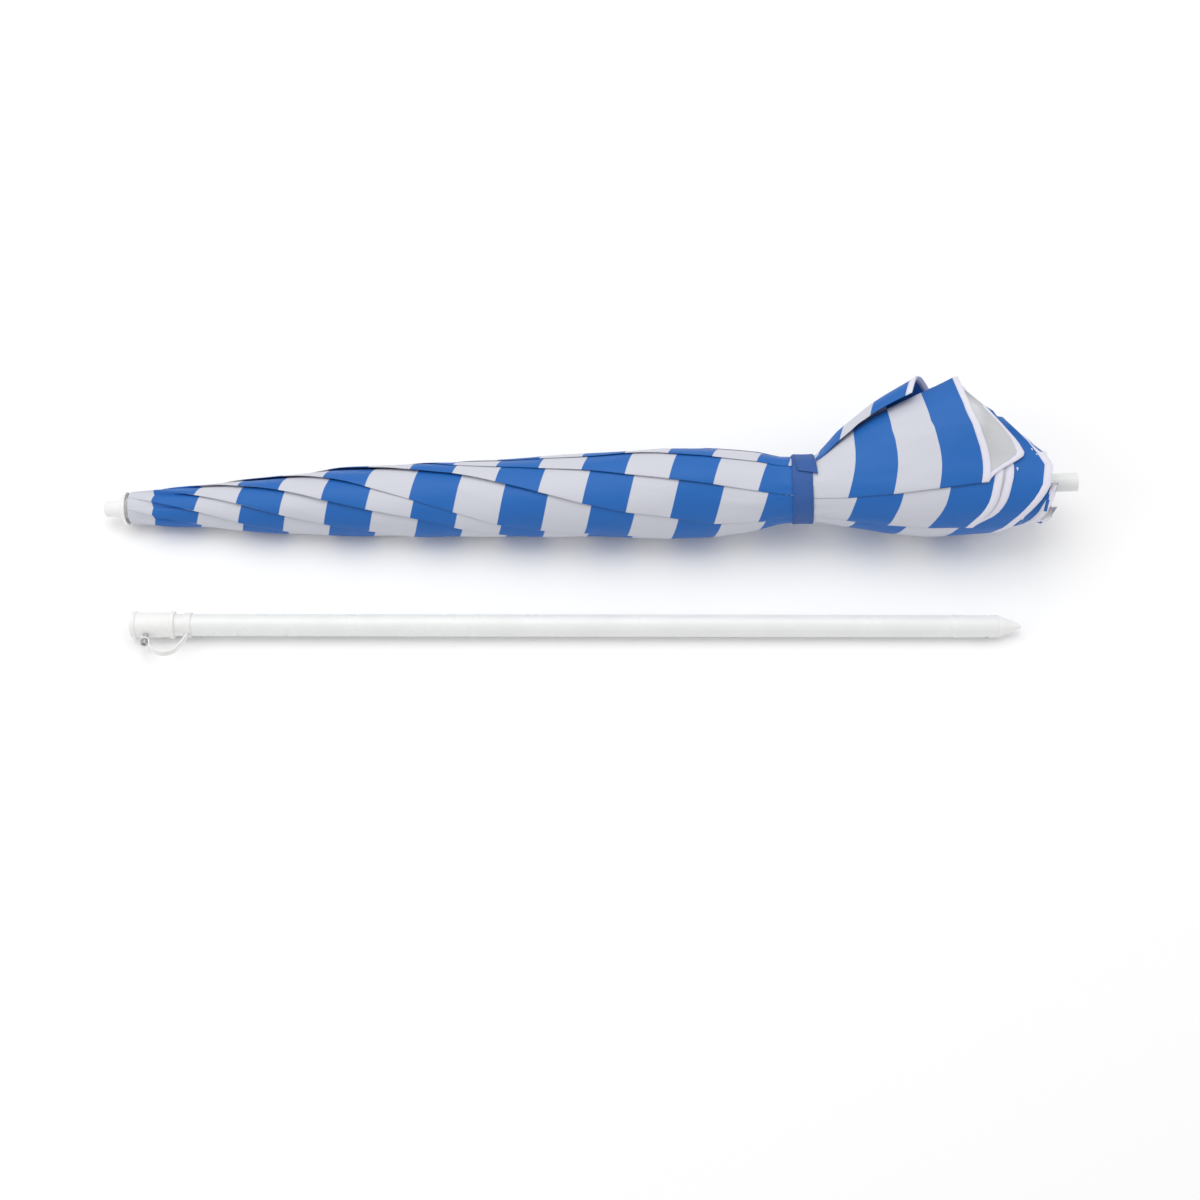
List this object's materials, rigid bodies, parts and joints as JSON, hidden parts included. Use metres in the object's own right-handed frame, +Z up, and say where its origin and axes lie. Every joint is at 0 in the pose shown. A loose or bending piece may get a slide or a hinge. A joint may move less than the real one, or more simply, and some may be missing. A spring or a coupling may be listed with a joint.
{
  "type": "beach umbrella",
  "caption": "Beach umbrella laid out to pack away: folded striped canopy held by a tie strap on a ribbed frame, with a separate spiked lower pole and lock pin.",
  "frame": {"origin": "bottom centre of the box round both poles, on the floor", "axes": "+X from the finial towards the bare pole end, +Y from the lower pole towards the folded canopy, +Z up from the floor"},
  "size_m": [0.9674, 0.2684, 0.1243],
  "materials": {
    "white_painted_pole": "satin",
    "white_plastic": "satin",
    "rib_steel": "satin",
    "canopy_cloth": "matt",
    "strap_cloth": "matt",
    "dark_plastic": "satin",
    "clear_plastic": "satin"
  },
  "bodies": {
    "mast": {"upper_pole": "white_painted_pole", "finial": "white_plastic", "top_cap": "white_plastic", "crown": "white_plastic", "crown_wire": "rib_steel", "crown_rivet": "rib_steel", "runner_catch": "rib_steel", "canopy": "canopy_cloth", "tie_strap": "strap_cloth"},
    "runner": {"runner": "white_plastic"},
    "lower_pole": {"lower_tube": "white_painted_pole", "collar": "white_plastic", "ground_spike": "white_plastic", "spike_rivet": "rib_steel", "pin_tether": "clear_plastic"},
    "lock_pin": {"lock_pin": "dark_plastic"},
    "rib_1": {"rib_1": "rib_steel", "rib_tip_1": "white_plastic", "rib_clip_1": "rib_steel", "strut_rivet_1": "rib_steel"},
    "strut_1": {"strut_1": "rib_steel"},
    "rib_2": {"rib_2": "rib_steel", "rib_tip_2": "white_plastic", "rib_clip_2": "rib_steel", "strut_rivet_2": "rib_steel"},
    "strut_2": {"strut_2": "rib_steel"},
    "rib_3": {"rib_3": "rib_steel", "rib_tip_3": "white_plastic", "rib_clip_3": "rib_steel", "strut_rivet_3": "rib_steel"},
    "strut_3": {"strut_3": "rib_steel"},
    "rib_4": {"rib_4": "rib_steel", "rib_tip_4": "white_plastic", "rib_clip_4": "rib_steel", "strut_rivet_4": "rib_steel"},
    "strut_4": {"strut_4": "rib_steel"},
    "rib_5": {"rib_5": "rib_steel", "rib_tip_5": "white_plastic", "rib_clip_5": "rib_steel", "strut_rivet_5": "rib_steel"},
    "strut_5": {"strut_5": "rib_steel"},
    "rib_6": {"rib_6": "rib_steel", "rib_tip_6": "white_plastic", "rib_clip_6": "rib_steel", "strut_rivet_6": "rib_steel"},
    "strut_6": {"strut_6": "rib_steel"},
    "rib_7": {"rib_7": "rib_steel", "rib_tip_7": "white_plastic", "rib_clip_7": "rib_steel", "strut_rivet_7": "rib_steel"},
    "strut_7": {"strut_7": "rib_steel"},
    "rib_8": {"rib_8": "rib_steel", "rib_tip_8": "white_plastic", "rib_clip_8": "rib_steel", "strut_rivet_8": "rib_steel"},
    "strut_8": {"strut_8": "rib_steel"}
  },
  "joints": [
    {"name": "runner_slide", "type": "slide", "parent": "mast", "child": "runner", "axis": [-0.9987, 0, -0.0506], "range_m": [0, 0.54426], "deforming": ["canopy", "tie_strap", "runner_catch"]},
    {"name": "rib_hinge_1", "type": "hinge", "parent": "mast", "child": "rib_1", "pos_m": [-0.44492, 0.04386, 0.0279], "axis": [-0.0419, -0.5592, 0.828], "range_deg": [0, 71]},
    {"name": "strut_hinge_1", "type": "hinge", "parent": "rib_1", "child": "strut_1", "pos_m": [-0.04548, 0.04591, 0.04952], "axis": [-0.0419, -0.5592, 0.828], "range_deg": [-142, 0]},
    {"name": "rib_hinge_2", "type": "hinge", "parent": "mast", "child": "rib_2", "pos_m": [-0.44521, 0.03524, 0.0336], "axis": [-0.0097, -0.9816, 0.1906], "range_deg": [0, 71]},
    {"name": "strut_hinge_2", "type": "hinge", "parent": "rib_2", "child": "strut_2", "pos_m": [-0.04582, 0.03571, 0.05627], "axis": [-0.0097, -0.9816, 0.1906], "range_deg": [-142, 0]},
    {"name": "rib_hinge_3", "type": "hinge", "parent": "mast", "child": "rib_3", "pos_m": [-0.4451, 0.02512, 0.03154], "axis": [0.0283, -0.829, -0.5585], "range_deg": [0, 71]},
    {"name": "strut_hinge_3", "type": "hinge", "parent": "rib_3", "child": "strut_3", "pos_m": [-0.0457, 0.02373, 0.05383], "axis": [0.0283, -0.829, -0.5585], "range_deg": [-142, 0]},
    {"name": "rib_hinge_4", "type": "hinge", "parent": "mast", "child": "rib_4", "pos_m": [-0.44467, 0.01941, 0.02293], "axis": [0.0497, -0.1908, -0.9804], "range_deg": [0, 71]},
    {"name": "strut_hinge_4", "type": "hinge", "parent": "rib_4", "child": "strut_4", "pos_m": [-0.04518, 0.01698, 0.04364], "axis": [0.0497, -0.1908, -0.9804], "range_deg": [-142, 0]},
    {"name": "rib_hinge_5", "type": "hinge", "parent": "mast", "child": "rib_5", "pos_m": [-0.44415, 0.02147, 0.01282], "axis": [0.0419, 0.5592, -0.828], "range_deg": [0, 71]},
    {"name": "strut_hinge_5", "type": "hinge", "parent": "rib_5", "child": "strut_5", "pos_m": [-0.04458, 0.01942, 0.03167], "axis": [0.0419, 0.5592, -0.828], "range_deg": [-142, 0]},
    {"name": "rib_hinge_6", "type": "hinge", "parent": "mast", "child": "rib_6", "pos_m": [-0.44387, 0.03009, 0.00713], "axis": [0.0097, 0.9816, -0.1906], "range_deg": [0, 71]},
    {"name": "strut_hinge_6", "type": "hinge", "parent": "rib_6", "child": "strut_6", "pos_m": [-0.04424, 0.02962, 0.02493], "axis": [0.0097, 0.9816, -0.1906], "range_deg": [-142, 0]},
    {"name": "rib_hinge_7", "type": "hinge", "parent": "mast", "child": "rib_7", "pos_m": [-0.44397, 0.04021, 0.00918], "axis": [-0.0283, 0.829, 0.5585], "range_deg": [0, 71]},
    {"name": "strut_hinge_7", "type": "hinge", "parent": "rib_7", "child": "strut_7", "pos_m": [-0.04436, 0.0416, 0.02737], "axis": [-0.0283, 0.829, 0.5585], "range_deg": [-142, 0]},
    {"name": "rib_hinge_8", "type": "hinge", "parent": "mast", "child": "rib_8", "pos_m": [-0.44441, 0.04592, 0.01779], "axis": [-0.0497, 0.1908, 0.9804], "range_deg": [0, 71]},
    {"name": "strut_hinge_8", "type": "hinge", "parent": "rib_8", "child": "strut_8", "pos_m": [-0.04488, 0.04835, 0.03755], "axis": [-0.0497, 0.1908, 0.9804], "range_deg": [-142, 0]},
    {"name": "lower_pole_draw", "type": "slide", "parent": "mast", "child": "lower_pole", "axis": [1, 0, 0], "range_m": [0, 0.95]},
    {"name": "lock_pin_slide", "type": "slide", "parent": "lower_pole", "child": "lock_pin", "axis": [0.0005, -0.9848, 0.1736], "range_m": [0, 0.032]}
  ],
  "couplings": [
    {"joint": "rib_hinge_1", "follows": "runner_slide", "rad_per_m": 2.2768},
    {"joint": "strut_hinge_1", "follows": "runner_slide", "rad_per_m": -4.5536},
    {"joint": "rib_hinge_2", "follows": "runner_slide", "rad_per_m": 2.2768},
    {"joint": "strut_hinge_2", "follows": "runner_slide", "rad_per_m": -4.5536},
    {"joint": "rib_hinge_3", "follows": "runner_slide", "rad_per_m": 2.2768},
    {"joint": "strut_hinge_3", "follows": "runner_slide", "rad_per_m": -4.5536},
    {"joint": "rib_hinge_4", "follows": "runner_slide", "rad_per_m": 2.2768},
    {"joint": "strut_hinge_4", "follows": "runner_slide", "rad_per_m": -4.5536},
    {"joint": "rib_hinge_5", "follows": "runner_slide", "rad_per_m": 2.2768},
    {"joint": "strut_hinge_5", "follows": "runner_slide", "rad_per_m": -4.5536},
    {"joint": "rib_hinge_6", "follows": "runner_slide", "rad_per_m": 2.2768},
    {"joint": "strut_hinge_6", "follows": "runner_slide", "rad_per_m": -4.5536},
    {"joint": "rib_hinge_7", "follows": "runner_slide", "rad_per_m": 2.2768},
    {"joint": "strut_hinge_7", "follows": "runner_slide", "rad_per_m": -4.5536},
    {"joint": "rib_hinge_8", "follows": "runner_slide", "rad_per_m": 2.2768},
    {"joint": "strut_hinge_8", "follows": "runner_slide", "rad_per_m": -4.5536}
  ]
}
